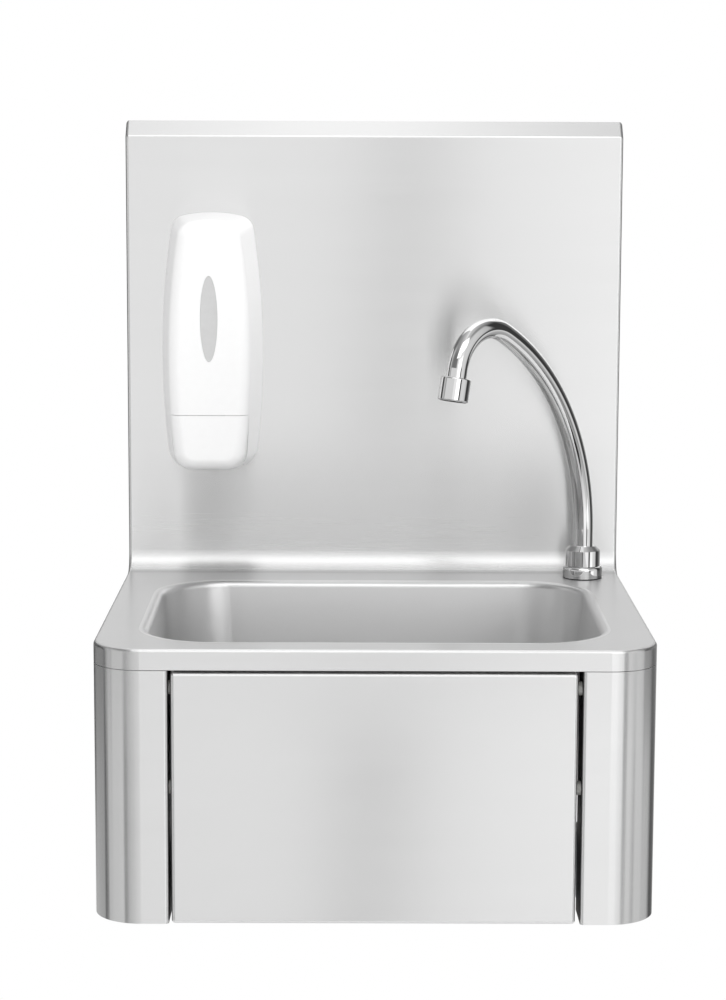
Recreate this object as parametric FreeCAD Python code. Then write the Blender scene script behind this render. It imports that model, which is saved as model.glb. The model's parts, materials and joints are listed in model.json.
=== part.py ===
# Wall-hung hand-wash sink worked by the knee.
# A folded stainless top carries a drawn bowl and a tall splash. Two folded side panels and a rear rail
# hang it on the wall. A pivoting front panel is pushed by the knee and presses the button of a water
# valve, which feeds a swivelling swan-neck spout. A soap dispenser with a push lever hangs on the splash.
# Frame: origin at the centre of the four wall fixings, on the wall plane.
# +X points to the user's right, +Y into the wall and +Z up.
# All lengths are in millimetres, all angles in degrees.
import FreeCAD
import Part

import math
import os

V = FreeCAD.Vector
TO_RIGHT = V(1, 0, 0)
TO_WALL = V(0, 1, 0)
TO_FRONT = V(0, -1, 0)
UP = V(0, 0, 1)
DOWN = V(0, 0, -1)

# Overall form
width = 400.0
depth = 340.0
apron_height = 198.0
splash_height = 365.0
deck_above_fixings = 60.0
sheet = 1.2

# Clearances shared by all fits
overrun = 5.0
seat_clearance = 0.1
running_clearance = 0.05
touch_gap = 0.3

# Corners of all hexagons
hex_chamfer_share = 0.6

# Deck and splash
rim_height = 15.0
corner_radius = 35.0
edge_radius = 2.5
lip_bend_radius = 3.0
cove_radius = 16.0
splash_standoff = 12.0

# Bowl
bowl_side_margin = 35.0
bowl_front_margin = 30.0
bowl_back_margin = 55.0
bowl_corner_radius = 50.0
bowl_draft = 14.0
bowl_floor_radius = 26.0
bowl_lip_radius = 5.0
bowl_flange = 1.5
bowl_sheet = 1.0
service_height = 65.0

# Side panels
strip_width = 54.5
return_depth = 37.0
seam_gap = 0.5
lap_below = 8.0
lap_above = 10.0

# Rear rail and wall fixings
rail_sheet = 1.5
rail_height = 70.0
rail_lip = 20.0
fixing_spacing_x = 300.0
fixing_spacing_z = 40.0
fixing_hole_radius = 4.5

# Knee panel
panel_left_gap = 2.0
panel_right_gap = 3.5
panel_top_gap = 2.0
panel_recess = 0.5
panel_flange = 22.0
swing_angle = 5.0

# Pivot and stop pins of the knee panel
pin_radius = 2.5
pin_head_radius = 4.5
pin_head = 3.0
pin_collar = 2.0
pivot_drop = 13.0
pivot_setback = 14.0
stop_drop = 72.0
bush_radius = 5.0

# Crossbar that holds the valve
crossbar_sheet = 1.5
crossbar_behind_corner = 10.0
crossbar_lip = 14.0
crossbar_clear = 6.0

# Knee valve
valve_offset = 52.0
bonnet_radius = 13.2
valve_collar_wall = 4.8
valve_collar = 8.0
valve_radius = 15.5
valve_length = 52.0
port_radius = 12.5
port_rise = 4.0
pipe_thread_radius = 10.48
nipple_length = 12.0
locknut_wall = 4.7
locknut = 6.0
button_radius = 13.0
button_head = 10.0
button_dome = 20.0
button_room = 2.0
stem_radius = 6.0
stem_engaged = 20.0
buffer_radius = 13.0
buffer = 6.0

# Mixer and its inlets
coupling_wall = 3.0
mixer_radius = 14.0
mixer_length = 64.0
inlet_spacing = 32.0
inlet_boss_radius = 12.5
inlet_boss = 14.5
inlet_collar_wall = 1.5
inlet_collar = 3.0
inlet_thread = 13.0
inlet_bore_radius = 7.0
knob_radius = 12.0
knob_length = 10.0
knob_grips = 10
knob_grip_radius = 1.6
knob_spindle_radius = 4.0

# Supply pipe
pipe_radius = 6.0
pipe_wall = 1.0
pipe_bend = 26.0
pipe_nut_wall = 2.4
pipe_nut_grip = 9.0
pipe_nut_tail = 5.0

# Waste
strainer_radius = 31.0
strainer = 2.4
strainer_recess = 3.0
strainer_hole_radius = 2.6
strainer_ring_radii = (11.0, 19.0)
strainer_ring_counts = (6, 12)
waste_screw_radius = 3.0
waste_screw_head_radius = 5.5
waste_screw_head = 1.6
waste_throat_radius = 24.0
gasket_radius = 31.0
gasket = 3.0
waste_flange_radius = 31.0
waste_flange = 5.0
tail_radius = 20.95
tail_wall = 2.2
tail_length = 38.0
web_thickness = 3.0
web_depth = 9.0
web_boss_radius = 6.0

# Tap
tap_edge_inset = 30.5
tap_cove_gap = 0.5
base_seal = 1.0
base_radius = 16.0
base_height = 9.5
base_round = 3.0
union_radius = 14.0
union_height = 16.0
union_chamfer = 3.6
shank_length = 46.0
shank_bore_radius = 5.0
tap_washer_radius = 16.0
tap_washer = 2.0
tap_nut_wall = 3.5
tap_nut = 8.0
spout_radius = 8.0
spout_wall = 1.2
spout_foot = 5.0
spout_rise = 40.5
spout_large_bend = 184.0
spout_large_turn = 62.5
spout_small_bend = 36.0
spout_small_turn = 106.0
spout_nose = 12.0
spout_heading = 225.0
aerator_radius = 11.8
aerator_length = 18.0
aerator_overlap = 5.0
aerator_wall = 1.6
aerator_round = 1.2
insert_depth = 8.0
insert_hole_radius = 1.1
insert_hole_count = 8
insert_ring_radius = 5.5

# Soap dispenser outline: the back is the wide face at the wall, the front face is narrower
soap_left_inset = 69.5
soap_above_deck = 84.7
soap_height = 207.3
soap_depth = 58.0
soap_wall_gap = 1.0
soap_belly = 81.4
soap_foot = 68.0
soap_crown = 64.0
soap_crown_rise = 5.0
soap_side_taper = 9.0
soap_end_taper = 5.0
soap_foot_round = 16.0
soap_shoulder_round = 13.0
soap_edge_round = 10.0
soap_wall = 2.2
belly_height_share = 0.48

# Soap window and lever
window_width = 13.8
window_height = 68.0
window_above_foot = 125.3
window_sink = 0.4
lever_height = 48.7
lever_top_reach = 7.5
lever_reach = 15.0
lever_gap = 0.35
lever_pivot_drop = 5.0
lever_pivot_setback = 8.0
lever_barrel_radius = 3.4
lever_barrel_length = 40.0
lever_push_drop = 25.0
lever_push_radius = 4.0
lever_swing = 10.0
small_pin_radius = 1.5
small_ear_radius = 4.2
small_ear = 2.6
small_ear_room = 2.0
small_ear_rise = 10.0

# Soap backplate, tank and pump
backplate = 3.0
backplate_inset = 1.0
cover_hinge_standoff = 10.0
cover_hinge_rise = 12.3
hinge_knuckle = 4.0
hinge_ear_radius = 5.0
foot_notch_height = 18.0
mouth_height = 9.0
mouth_width = 52.7
mouth_setback = 27.0
nozzle_plate_rise = 7.5
nozzle_plate = 2.0
tank_side_room = 0.8
tank_front_room = 19.0
tank_head_room = 12.0
tank_wall = 1.6
tank_round = 5.0
tank_above_foot = 66.0
tank_mouth_radius = 8.0
spigot_radius = 5.0
spigot_length = 8.0
lid_radius = 10.5
lid = 3.0
lid_plug = 5.0
shelf = 2.5
pump_radius = 11.0
pump_foot = 10.0
pump_bore_depth = 16.0
nozzle_radius = 4.0
nozzle_length = 8.0
nozzle_bore_radius = 1.5
plunger_radius = 4.0
plunger_head_radius = 6.0
plunger_head = 2.0
plunger_room = 1.0
soap_screw_radius = 1.9
soap_screw_head_radius = 3.6
soap_screw_head = 1.8
soap_screw_grip = 5.0
soap_screw_span = 34.0
soap_screw_foot = 31.3
soap_screw_room = 2.5

# Levels and planes that many pieces share
half_width = width / 2
inner_half = half_width - sheet
deck_z = deck_above_fixings
rim_z = deck_z - rim_height
base_z = deck_z - apron_height
top_z = deck_z + splash_height
front_y = -depth
splash_y = -splash_standoff
opening_half = half_width - strip_width
bowl_length = width - 2 * bowl_side_margin
bowl_width = depth - bowl_front_margin - bowl_back_margin - splash_standoff
bowl_depth = apron_height - service_height - bowl_sheet
bowl_y = front_y + bowl_front_margin + bowl_width / 2
bowl_floor_z = deck_z - bowl_depth
bowl_under_z = bowl_floor_z - bowl_sheet
panel_y = front_y + panel_recess
panel_top_z = rim_z - panel_top_gap
panel_inner_y = panel_y + sheet
pivot_y = panel_y + pivot_setback
pivot_z = panel_top_z - pivot_drop
stop_z = pivot_z - stop_drop
crossbar_y = front_y + corner_radius + crossbar_behind_corner
valve_z = (base_z + bowl_under_z) / 2
valve_arm = pivot_z - valve_z
button_travel = valve_arm * math.radians(swing_angle)
buffer_y = panel_inner_y + buffer
button_y = buffer_y + touch_gap
stem_y = button_y + button_head
bonnet_y = stem_y + button_travel + button_room
valve_seat_y = crossbar_y + crossbar_sheet
valve_end_y = valve_seat_y + valve_collar + valve_length
inlet_y = valve_seat_y + valve_collar + valve_length / 2
outlet_end_y = valve_end_y + nipple_length
inlet_end_x = valve_offset + valve_radius + port_rise + nipple_length
mixer_end_x = inlet_end_x + mixer_length
tap_x = half_width - tap_edge_inset
tap_y = splash_y - cove_radius - tap_cove_gap - base_radius
tap_base_z = deck_z + base_seal
shank_end_z = deck_z - shank_length
soap_x = -half_width + soap_left_inset
soap_z = deck_z + soap_above_deck
soap_back_y = splash_y - soap_wall_gap
soap_front_y = splash_y - soap_depth
cover_hinge_y = splash_y - cover_hinge_standoff
cover_hinge_z = soap_z + cover_hinge_rise
lever_pivot_y = soap_front_y + lever_pivot_setback
lever_seam_z = soap_z + lever_height
lever_pivot_z = lever_seam_z - lever_pivot_drop
lever_ear_x = lever_barrel_length / 2 + small_ear_room
lever_push_z = lever_pivot_z - lever_push_drop
tank_width = soap_crown - 2 * (soap_side_taper + soap_wall + tank_side_room)
tank_depth = soap_depth - soap_wall - backplate - tank_front_room
tank_height = soap_height - soap_crown_rise - soap_end_taper - soap_wall - tank_above_foot - tank_head_room
tank_back_y = splash_y - backplate
tank_z = soap_z + tank_above_foot
pump_y = tank_back_y - tank_depth / 2
pump_front_y = pump_y - pump_radius
plunger_travel = lever_push_drop * math.radians(lever_swing)
plunger_y = pump_front_y - plunger_room - plunger_travel - plunger_head
lever_push_y = plunger_y - touch_gap


def box(x0, x1, y0, y1, z0, z1):
    """A block between two opposite corners."""
    return Part.makeBox(x1 - x0, y1 - y0, z1 - z0, V(x0, y0, z0))


def rod(radius, start, along, length):
    """A round bar from a start point."""
    return Part.makeCylinder(radius, length, start, along)


def ring(radius, bore, start, along, length):
    """A round bar with a through bore."""
    hole = rod(bore, start - along * overrun, along, length + 2 * overrun)
    return rod(radius, start, along, length).cut(hole)


def hex_bar(flats, start, along, length):
    """A six-sided bar, measured across its flats."""
    corner = flats / math.sqrt(3)
    angles = [math.radians(60 * step) for step in range(7)]
    points = [V(corner * math.cos(angle), corner * math.sin(angle), 0) for angle in angles]
    bar = Part.Face(Part.makePolygon(points)).extrude(V(0, 0, length))
    bar.Placement = FreeCAD.Placement(start, FreeCAD.Rotation(UP, along))
    turned = rod(corner, start, along, length)
    ends = [edge for edge in turned.Edges if edge.Closed]
    return bar.common(turned.makeChamfer(hex_chamfer_share * (corner - flats / 2), ends))


def hex_nut(bore, wall, start, along, length):
    """A plain nut: its bore and the wall at the middle of each flat."""
    hole = rod(bore, start - along * overrun, along, length + 2 * overrun)
    return hex_bar(2 * (bore + wall), start, along, length).cut(hole)


def edges_where(shape, test):
    """The edges of a shape whose vertices all pass a test."""
    return [edge for edge in shape.Edges if all(test(vertex.Point) for vertex in edge.Vertexes)]


def near(value, target):
    """True where two lengths are the same place."""
    return abs(value - target) < touch_gap / 100


def round_edges(shape, test):
    """The whole circles of a turned shape whose centre passes a test."""
    return [edge for edge in shape.Edges if edge.Closed and test(edge.CenterOfMass)]


def fuse_all(pieces):
    """One solid out of several that touch."""
    return pieces[0].fuse(pieces[1:]).removeSplitter()


def rounded_outline(center_x, center_y, length, breadth, radius, z):
    """A closed wire: a rectangle with round corners, level at height z."""
    x = length / 2
    y = breadth / 2
    corner_signs = ((1, 1), (-1, 1), (-1, -1), (1, -1))
    edges = []
    last = None
    first = None
    for index, (sx, sy) in enumerate(corner_signs):
        middle = V(center_x + sx * (x - radius), center_y + sy * (y - radius), z)
        start_angle = math.radians(90 * index)
        points = []
        for share in (0, 1 / 2, 1):
            angle = start_angle + share * math.pi / 2
            points.append(middle + V(radius * math.cos(angle), radius * math.sin(angle), 0))
        if last is not None:
            edges.append(Part.LineSegment(last, points[0]).toShape())
        else:
            first = points[0]
        edges.append(Part.Arc(*points).toShape())
        last = points[2]
    edges.append(Part.LineSegment(last, first).toShape())
    return Part.Wire(edges)


def tray(x0, x1, face_y, open_y, z0, z1, wall, radius):
    """A folded tray: an upright plate at face_y with four lips that run towards open_y."""
    sense = 1 if open_y > face_y else -1

    def block(inset, near_y, far_y, round_radius):
        low_y = min(near_y, far_y)
        high_y = max(near_y, far_y)
        shape = box(x0 + inset, x1 - inset, low_y, high_y, z0 + inset, z1 - inset)
        lips = edges_where(shape, lambda p: near(p.y, near_y))
        folds = [edge for edge in shape.Edges if abs(edge.tangentAt(edge.FirstParameter).y) > 0.5]
        return shape.makeFillet(round_radius, lips + folds)

    outer = block(0, face_y, open_y, radius)
    inner = block(wall, face_y + sense * wall, open_y + sense * overrun, radius - wall)
    return outer.cut(inner)


def top_block(inset):
    """The filled form of deck, rim and splash; an inset gives the space under the sheet."""
    low = rim_z - (overrun if inset else 0)
    wall_y = overrun if inset else 0
    lip_run = inset * math.tan(math.radians(45 / 2))
    face_y = splash_y + inset
    lip_z = top_z - splash_standoff - lip_run
    lip_bend = lip_bend_radius - inset
    lip_tangent = lip_bend * math.tan(math.radians(45 / 2))
    lip_slope = lip_tangent * math.sin(math.radians(45))
    lip_arc_y = face_y + lip_bend * (1 - math.cos(math.radians(45 / 2)))
    lip_arc_z = lip_z - lip_tangent + lip_bend * math.sin(math.radians(45 / 2))
    cove = cove_radius + inset
    cove_y = splash_y - cove_radius
    cove_z = deck_z + cove_radius
    arc_y = cove_y + cove * math.sin(math.radians(45))
    arc_z = cove_z - cove * math.cos(math.radians(45))
    x = half_width - inset
    deck_level = deck_z - inset

    def at(y, z):
        return V(-x, y, z)

    wall_top = at(wall_y, lip_z + wall_y - face_y)
    lip_start = at(face_y + lip_slope, lip_z + lip_slope)
    lip_end = at(face_y, lip_z - lip_tangent)
    edges = [
        Part.LineSegment(at(wall_y, low), wall_top),
        Part.LineSegment(wall_top, lip_start),
        Part.Arc(lip_start, at(lip_arc_y, lip_arc_z), lip_end),
        Part.LineSegment(lip_end, at(face_y, cove_z)),
        Part.Arc(at(face_y, cove_z), at(arc_y, arc_z), at(cove_y, deck_level)),
        Part.LineSegment(at(cove_y, deck_level), at(front_y + inset, deck_level)),
        Part.LineSegment(at(front_y + inset, deck_level), at(front_y + inset, low)),
        Part.LineSegment(at(front_y + inset, low), at(wall_y, low)),
    ]
    profile = Part.Face(Part.Wire([edge.toShape() for edge in edges]))
    block = profile.extrude(V(2 * x, 0, 0))

    def front_corner(point):
        return near(point.y, front_y + inset) and near(abs(point.x), x)

    uprights = [edge for edge in edges_where(block, front_corner) if abs(edge.tangentAt(0).z) > 0.5]
    block = block.makeFillet(corner_radius - inset, uprights)

    def visible_bend(edge):
        at_foot = any(near(vertex.Point.z, low) for vertex in edge.Vertexes)
        on_wall = all(near(vertex.Point.y, wall_y) for vertex in edge.Vertexes)
        middle = edge.valueAt((edge.FirstParameter + edge.LastParameter) / 2)
        at_side = near(abs(middle.x), x)
        at_front = middle.y < front_y + corner_radius and near(middle.z, deck_level)
        return not at_foot and not on_wall and (at_side or at_front)

    bends = [edge for edge in block.Edges if visible_bend(edge)]
    return block.makeFillet(edge_radius - inset, bends)


def bowl_block(grow):
    """The drafted form of the bowl with round floor edges; grow gives the outside of the sheet."""
    floor_z = bowl_floor_z - grow
    top_length = bowl_length + 2 * grow
    top_breadth = bowl_width + 2 * grow
    top = rounded_outline(0, bowl_y, top_length, top_breadth, bowl_corner_radius + grow, deck_z - grow)
    floor_radius = bowl_corner_radius + grow - bowl_draft / 2
    floor = rounded_outline(
        0, bowl_y, top_length - 2 * bowl_draft, top_breadth - 2 * bowl_draft, floor_radius, floor_z
    )
    block = Part.makeLoft([top, floor], True, True)
    return block, floor_z


def flange_outline(z):
    """The outer edge of the bowl's flange, level at height z."""
    reach = bowl_lip_radius + bowl_flange
    return rounded_outline(
        0, bowl_y, bowl_length + 2 * reach, bowl_width + 2 * reach, bowl_corner_radius + reach, z
    )


def bowl_opening(z, height):
    """The plain prism of the bowl's flange."""
    return Part.Face(flange_outline(z)).extrude(V(0, 0, height))


def bowl_form(grow):
    """Drafted form plus the slab above it, with the lip and floor edges rounded."""
    block, floor_z = bowl_block(grow)
    slab = bowl_opening(deck_z - grow, overrun + grow)
    form = block.fuse(slab).removeSplitter()
    flange = flange_outline(deck_z - grow)

    def is_lip(edge):
        middle = edge.valueAt((edge.FirstParameter + edge.LastParameter) / 2)
        return flange.distToShape(Part.Vertex(middle))[0] > bowl_flange / 2

    lip = [edge for edge in edges_where(form, lambda p: near(p.z, deck_z - grow)) if is_lip(edge)]
    form = form.makeFillet(bowl_lip_radius - grow, lip)
    floor = edges_where(form, lambda p: near(p.z, floor_z))
    return form.makeFillet(bowl_floor_radius + grow, floor)


def bowl():
    """Drawn bowl: rolled lip, drafted walls, round floor, recessed seat for the strainer."""
    slab_top = box(-width, width, -2 * depth, depth, deck_z, deck_z + 2 * overrun)
    shell = bowl_form(bowl_sheet).cut(slab_top).cut(bowl_form(0))
    seat_z = bowl_floor_z - strainer_recess
    seat_radius = strainer_radius + seat_clearance
    pan = rod(seat_radius + bowl_sheet, V(0, bowl_y, seat_z - bowl_sheet), UP, strainer_recess + bowl_sheet)
    recess = rod(seat_radius, V(0, bowl_y, seat_z), UP, strainer_recess + overrun)
    throat = rod(waste_throat_radius, V(0, bowl_y, seat_z - overrun), UP, 2 * overrun)
    return shell.fuse(pan).cut(recess).cut(throat).removeSplitter()


def top_and_backsplash():
    """Deck, rim, cove, splash and slanted lip folded from one sheet."""
    shell = top_block(0).cut(top_block(sheet))
    shell = shell.cut(bowl_opening(deck_z - rim_height / 2, rim_height))
    tap_hole = rod(pipe_thread_radius + touch_gap, V(tap_x, tap_y, rim_z), UP, rim_height + overrun)
    shell = shell.cut(tap_hole)
    for place in soap_screw_places():
        start = V(place.x, splash_y - overrun, place.z)
        shell = shell.cut(rod(soap_screw_radius + seat_clearance, start, TO_WALL, 2 * overrun))
    return shell


def panel_block(inset, z0, z1):
    """Filled plan of a right side panel: side, round corner and front strip."""
    block = box(opening_half + inset, half_width - inset, front_y + inset, inset and overrun, z0, z1)

    def outer_corner(point):
        return near(point.x, half_width - inset) and near(point.y, front_y + inset)

    def inner_corner(point):
        return near(point.x, opening_half + inset) and near(point.y, front_y + inset)

    block = block.makeFillet(corner_radius - inset, edges_where(block, outer_corner))
    return block.makeFillet(edge_radius - min(inset, sheet), edges_where(block, inner_corner))


def right_side_panel():
    """Side, corner, front strip and return folded from one sheet, with a lap behind the deck rim."""
    top = rim_z - seam_gap
    wall = panel_block(0, base_z, top).cut(panel_block(sheet, base_z - overrun, top + overrun))
    behind_return = box(
        opening_half - overrun, opening_half + sheet + overrun, front_y + return_depth, overrun,
        base_z - overrun, top + overrun,
    )
    wall = wall.cut(behind_return)
    lap_z0 = top - lap_below
    lap_z1 = top + lap_above
    lap = panel_block(sheet, lap_z0, lap_z1).cut(panel_block(2 * sheet, lap_z0 - overrun, lap_z1 + overrun))
    lap_limit = box(
        opening_half + corner_radius, half_width, front_y, -rail_lip - sheet, lap_z0, lap_z1
    )
    panel = wall.fuse(lap.common(lap_limit)).removeSplitter()
    for z in (pivot_z, stop_z):
        start = V(opening_half - overrun, pivot_y, z)
        panel = panel.cut(rod(pin_radius + seat_clearance, start, TO_RIGHT, 2 * overrun))
    return panel


def left_side_panel():
    """The right panel's mirror image."""
    return right_side_panel().mirror(V(0, 0, 0), TO_RIGHT)


def rear_rail():
    """Folded rail that takes the four wall fixings."""
    half_height = rail_height / 2
    rail = tray(-inner_half, inner_half, 0, -rail_lip, -half_height, half_height, rail_sheet, edge_radius)
    for sx in (-1, 1):
        for sz in (-1, 1):
            start = V(sx * fixing_spacing_x / 2, -overrun, sz * fixing_spacing_z / 2)
            rail = rail.cut(rod(fixing_hole_radius, start, TO_WALL, 2 * overrun))
    return rail


def valve_crossbar():
    """Folded bar between the side panels, with the hole for the valve's bonnet."""
    bar = tray(
        -inner_half, inner_half, crossbar_y, crossbar_y + crossbar_lip,
        base_z + crossbar_clear, bowl_under_z - crossbar_clear, crossbar_sheet, edge_radius,
    )
    hole_start = V(valve_offset, crossbar_y - overrun, valve_z)
    return bar.cut(rod(bonnet_radius + seat_clearance, hole_start, TO_WALL, 2 * overrun))


def knee_panel():
    """Folded front panel with pivot holes and stop slots in its side lips."""
    left = -opening_half + panel_left_gap
    right = opening_half - panel_right_gap
    panel = tray(left, right, panel_y, panel_y + panel_flange, base_z, panel_top_z, sheet, edge_radius)
    slot_radius = pin_radius + touch_gap
    travel = stop_drop * math.sin(math.radians(swing_angle))
    for x in (left, right):
        start_x = x - overrun
        length = 2 * overrun
        hole = rod(pin_radius + running_clearance, V(start_x, pivot_y, pivot_z), TO_RIGHT, length)
        front_end = rod(slot_radius, V(start_x, pivot_y - travel, stop_z), TO_RIGHT, length)
        rear_end = rod(slot_radius, V(start_x, pivot_y, stop_z), TO_RIGHT, length)
        middle = box(
            start_x, start_x + length, pivot_y - travel, pivot_y, stop_z - slot_radius, stop_z + slot_radius
        )
        panel = panel.cut([hole, front_end, rear_end, middle])
    return panel


def panel_sides():
    """For each side: its sign and the gap between strip and panel."""
    return ((-1, panel_left_gap), (1, panel_right_gap))


def headed_pins(z):
    """A pair of headed pins through the strip returns and the panel's side lips."""
    pins = []
    for side, gap in panel_sides():
        outward = V(side, 0, 0)
        head_start = V(side * (opening_half + sheet), pivot_y, z)
        shank = sheet + gap + sheet + touch_gap + pin_collar
        collar_start = head_start - outward * shank
        pieces = [
            rod(pin_head_radius, head_start, outward, pin_head),
            rod(pin_radius, head_start, -outward, shank),
            rod(pin_head_radius, collar_start, outward, pin_collar),
        ]
        pins.append(fuse_all(pieces))
    return Part.makeCompound(pins)


def spacer_bushes(z):
    """A pair of nylon bushes that keep the panel clear of the strips."""
    bushes = []
    for side, gap in panel_sides():
        start = V(side * opening_half, pivot_y, z)
        inward = V(-side, 0, 0)
        bushes.append(ring(bush_radius, pin_radius + seat_clearance, start, inward, gap - touch_gap))
    return Part.makeCompound(bushes)


def knee_buffer():
    """Rubber pad on the back of the panel, in line with the valve's button."""
    pad = rod(buffer_radius, V(valve_offset, panel_inner_y, valve_z), TO_WALL, buffer)
    return pad.makeFillet(edge_radius, round_edges(pad, lambda p: near(p.y, buffer_y)))


def valve_button():
    """Domed push button on its stem."""
    head = rod(button_radius, V(valve_offset, button_y, valve_z), TO_WALL, button_head)
    dome = Part.makeSphere(button_dome, V(valve_offset, button_y + button_dome, valve_z))
    stem = rod(stem_radius, V(valve_offset, stem_y, valve_z), TO_WALL, bonnet_y + stem_engaged - stem_y)
    return head.common(dome).fuse(stem).removeSplitter()


def valve_body():
    """Turned valve: bonnet through the crossbar, hexagon collar, barrel, side inlet and rear outlet."""
    bonnet = rod(bonnet_radius, V(valve_offset, bonnet_y, valve_z), TO_WALL, valve_seat_y - bonnet_y)
    collar_flats = 2 * (bonnet_radius + valve_collar_wall)
    collar = hex_bar(collar_flats, V(valve_offset, valve_seat_y, valve_z), TO_WALL, valve_collar)
    barrel_start = V(valve_offset, valve_seat_y + valve_collar, valve_z)
    barrel = rod(valve_radius, barrel_start, TO_WALL, valve_length)
    outlet = rod(pipe_thread_radius, V(valve_offset, valve_end_y, valve_z), TO_WALL, nipple_length)
    center = V(valve_offset, inlet_y, valve_z)
    port = rod(port_radius, center, TO_RIGHT, valve_radius + port_rise)
    inlet = rod(pipe_thread_radius, center, TO_RIGHT, inlet_end_x - valve_offset)
    body = fuse_all([bonnet, collar, barrel, outlet, port, inlet])
    bore_depth = stem_engaged + button_travel + button_room
    bore = rod(stem_radius + running_clearance, V(valve_offset, bonnet_y, valve_z), TO_WALL, bore_depth)
    outlet_bore = rod(pipe_radius - pipe_wall, center, TO_WALL, outlet_end_y - inlet_y)
    inlet_bore = rod(inlet_bore_radius, center, TO_RIGHT, inlet_end_x - valve_offset)
    return body.cut([bore, outlet_bore, inlet_bore])


def valve_locknut():
    """Nut that clamps the bonnet to the crossbar."""
    start = V(valve_offset, crossbar_y - locknut, valve_z)
    return hex_nut(bonnet_radius + seat_clearance, locknut_wall, start, TO_WALL, locknut)


def coupling_nut():
    """Nut that couples the mixer to the valve's inlet."""
    start = V(inlet_end_x - nipple_length, inlet_y, valve_z)
    return hex_nut(pipe_thread_radius + seat_clearance, coupling_wall, start, TO_RIGHT, nipple_length)


def inlet_places():
    """The two inlets hang under the mixer, side by side."""
    middle = inlet_end_x + mixer_length / 2
    return [V(middle + side * inlet_spacing / 2, inlet_y, valve_z - inlet_boss) for side in (-1, 1)]


def mixer_body():
    """Barrel with two bosses below, a water way and a spindle hole."""
    start = V(inlet_end_x, inlet_y, valve_z)
    body = rod(mixer_radius, start, TO_RIGHT, mixer_length)
    bosses = [rod(inlet_boss_radius, place, UP, inlet_boss) for place in inlet_places()]
    body = fuse_all([body] + bosses)
    water_way = rod(inlet_bore_radius, start, TO_RIGHT, mixer_length - mixer_radius)
    feeds = [rod(inlet_bore_radius, place, UP, inlet_boss) for place in inlet_places()]
    spindle_start = start + TO_RIGHT * (mixer_length - knob_length)
    spindle_hole = rod(knob_spindle_radius + running_clearance, spindle_start, TO_RIGHT, knob_length)
    return body.cut([water_way, spindle_hole] + feeds)


def inlet_nipple(place):
    """Threaded nipple with a hexagon collar, pointing down."""
    collar = hex_bar(2 * (pipe_thread_radius + inlet_collar_wall), place, DOWN, inlet_collar)
    thread = rod(pipe_thread_radius, place + DOWN * inlet_collar, DOWN, inlet_thread)
    bore = rod(inlet_bore_radius, place + UP * overrun, DOWN, inlet_collar + inlet_thread + 2 * overrun)
    return collar.fuse(thread).cut(bore)


def temperature_knob():
    """Grip with scallops on a spindle that turns in the mixer's end."""
    start = V(mixer_end_x + touch_gap, inlet_y, valve_z)
    grip = rod(knob_radius, start, TO_RIGHT, knob_length)
    for index in range(knob_grips):
        angle = 2 * math.pi * index / knob_grips
        offset = V(0, knob_radius * math.cos(angle), knob_radius * math.sin(angle))
        grip = grip.cut(rod(knob_grip_radius, start + offset, TO_RIGHT, knob_length))
    spindle_start = V(mixer_end_x - knob_length + touch_gap, inlet_y, valve_z)
    spindle = rod(knob_spindle_radius, spindle_start, TO_RIGHT, knob_length)
    return grip.fuse(spindle)


def bent_tube(points, bend, radius, wall):
    """A hollow tube along straight runs joined by tangent quarter bends."""
    edges = []
    start = points[0]
    for before, corner, after in zip(points, points[1:], points[2:]):
        incoming = (corner - before).normalize()
        outgoing = (after - corner).normalize()
        arc_start = corner - incoming * bend
        arc_end = corner + outgoing * bend
        center = arc_start + outgoing * bend
        middle = center + (corner - center).normalize() * bend
        edges.append(Part.LineSegment(start, arc_start).toShape())
        edges.append(Part.Arc(arc_start, middle, arc_end).toShape())
        start = arc_end
    edges.append(Part.LineSegment(start, points[-1]).toShape())
    return swept_tube(edges, radius, wall)


def swept_tube(edges, radius, wall):
    """A hollow tube along a chain of tangent lines and arcs."""
    path = Part.Wire(edges)
    start = edges[0].Vertexes[0].Point
    along = edges[0].tangentAt(edges[0].FirstParameter)

    def sweep(section_radius):
        section = Part.Wire(Part.Circle(start, along, section_radius).toShape())
        return path.makePipeShell([section], True, False)

    return sweep(radius).cut(sweep(radius - wall))


def supply_pipe():
    """Rigid pipe from the valve's outlet, behind the bowl, up to the tap's shank."""
    points = [
        V(valve_offset, outlet_end_y, valve_z),
        V(valve_offset, tap_y, valve_z),
        V(tap_x, tap_y, valve_z),
        V(tap_x, tap_y, shank_end_z),
    ]
    return bent_tube(points, pipe_bend, pipe_radius, pipe_wall)


def pipe_nut(end, along):
    """Compression nut: the wide bore grips the thread, the narrow one passes the pipe."""
    start = end - along * pipe_nut_grip
    thread_bore = pipe_thread_radius + seat_clearance
    nut = hex_bar(2 * (thread_bore + pipe_nut_wall), start, along, pipe_nut_grip + pipe_nut_tail)
    thread = rod(thread_bore, start, along, pipe_nut_grip)
    passage = rod(pipe_radius + seat_clearance, start, along, pipe_nut_grip + pipe_nut_tail)
    return nut.cut([thread, passage])


def valve_pipe_nut():
    """Nut at the valve's outlet."""
    return pipe_nut(V(valve_offset, outlet_end_y, valve_z), TO_WALL)


def tap_pipe_nut():
    """Nut at the foot of the tap's shank."""
    return pipe_nut(V(tap_x, tap_y, shank_end_z), DOWN)


def waste_strainer():
    """Pierced plate in the floor recess."""
    seat = V(0, bowl_y, bowl_floor_z - strainer_recess)
    plate = rod(strainer_radius, seat, UP, strainer)
    holes = [rod(waste_screw_radius + seat_clearance, seat, UP, strainer)]
    for radius, count in zip(strainer_ring_radii, strainer_ring_counts):
        for index in range(count):
            angle = 2 * math.pi * index / count
            offset = V(radius * math.cos(angle), radius * math.sin(angle), 0)
            holes.append(rod(strainer_hole_radius, seat + offset, UP, strainer))
    return plate.cut(holes)


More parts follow.
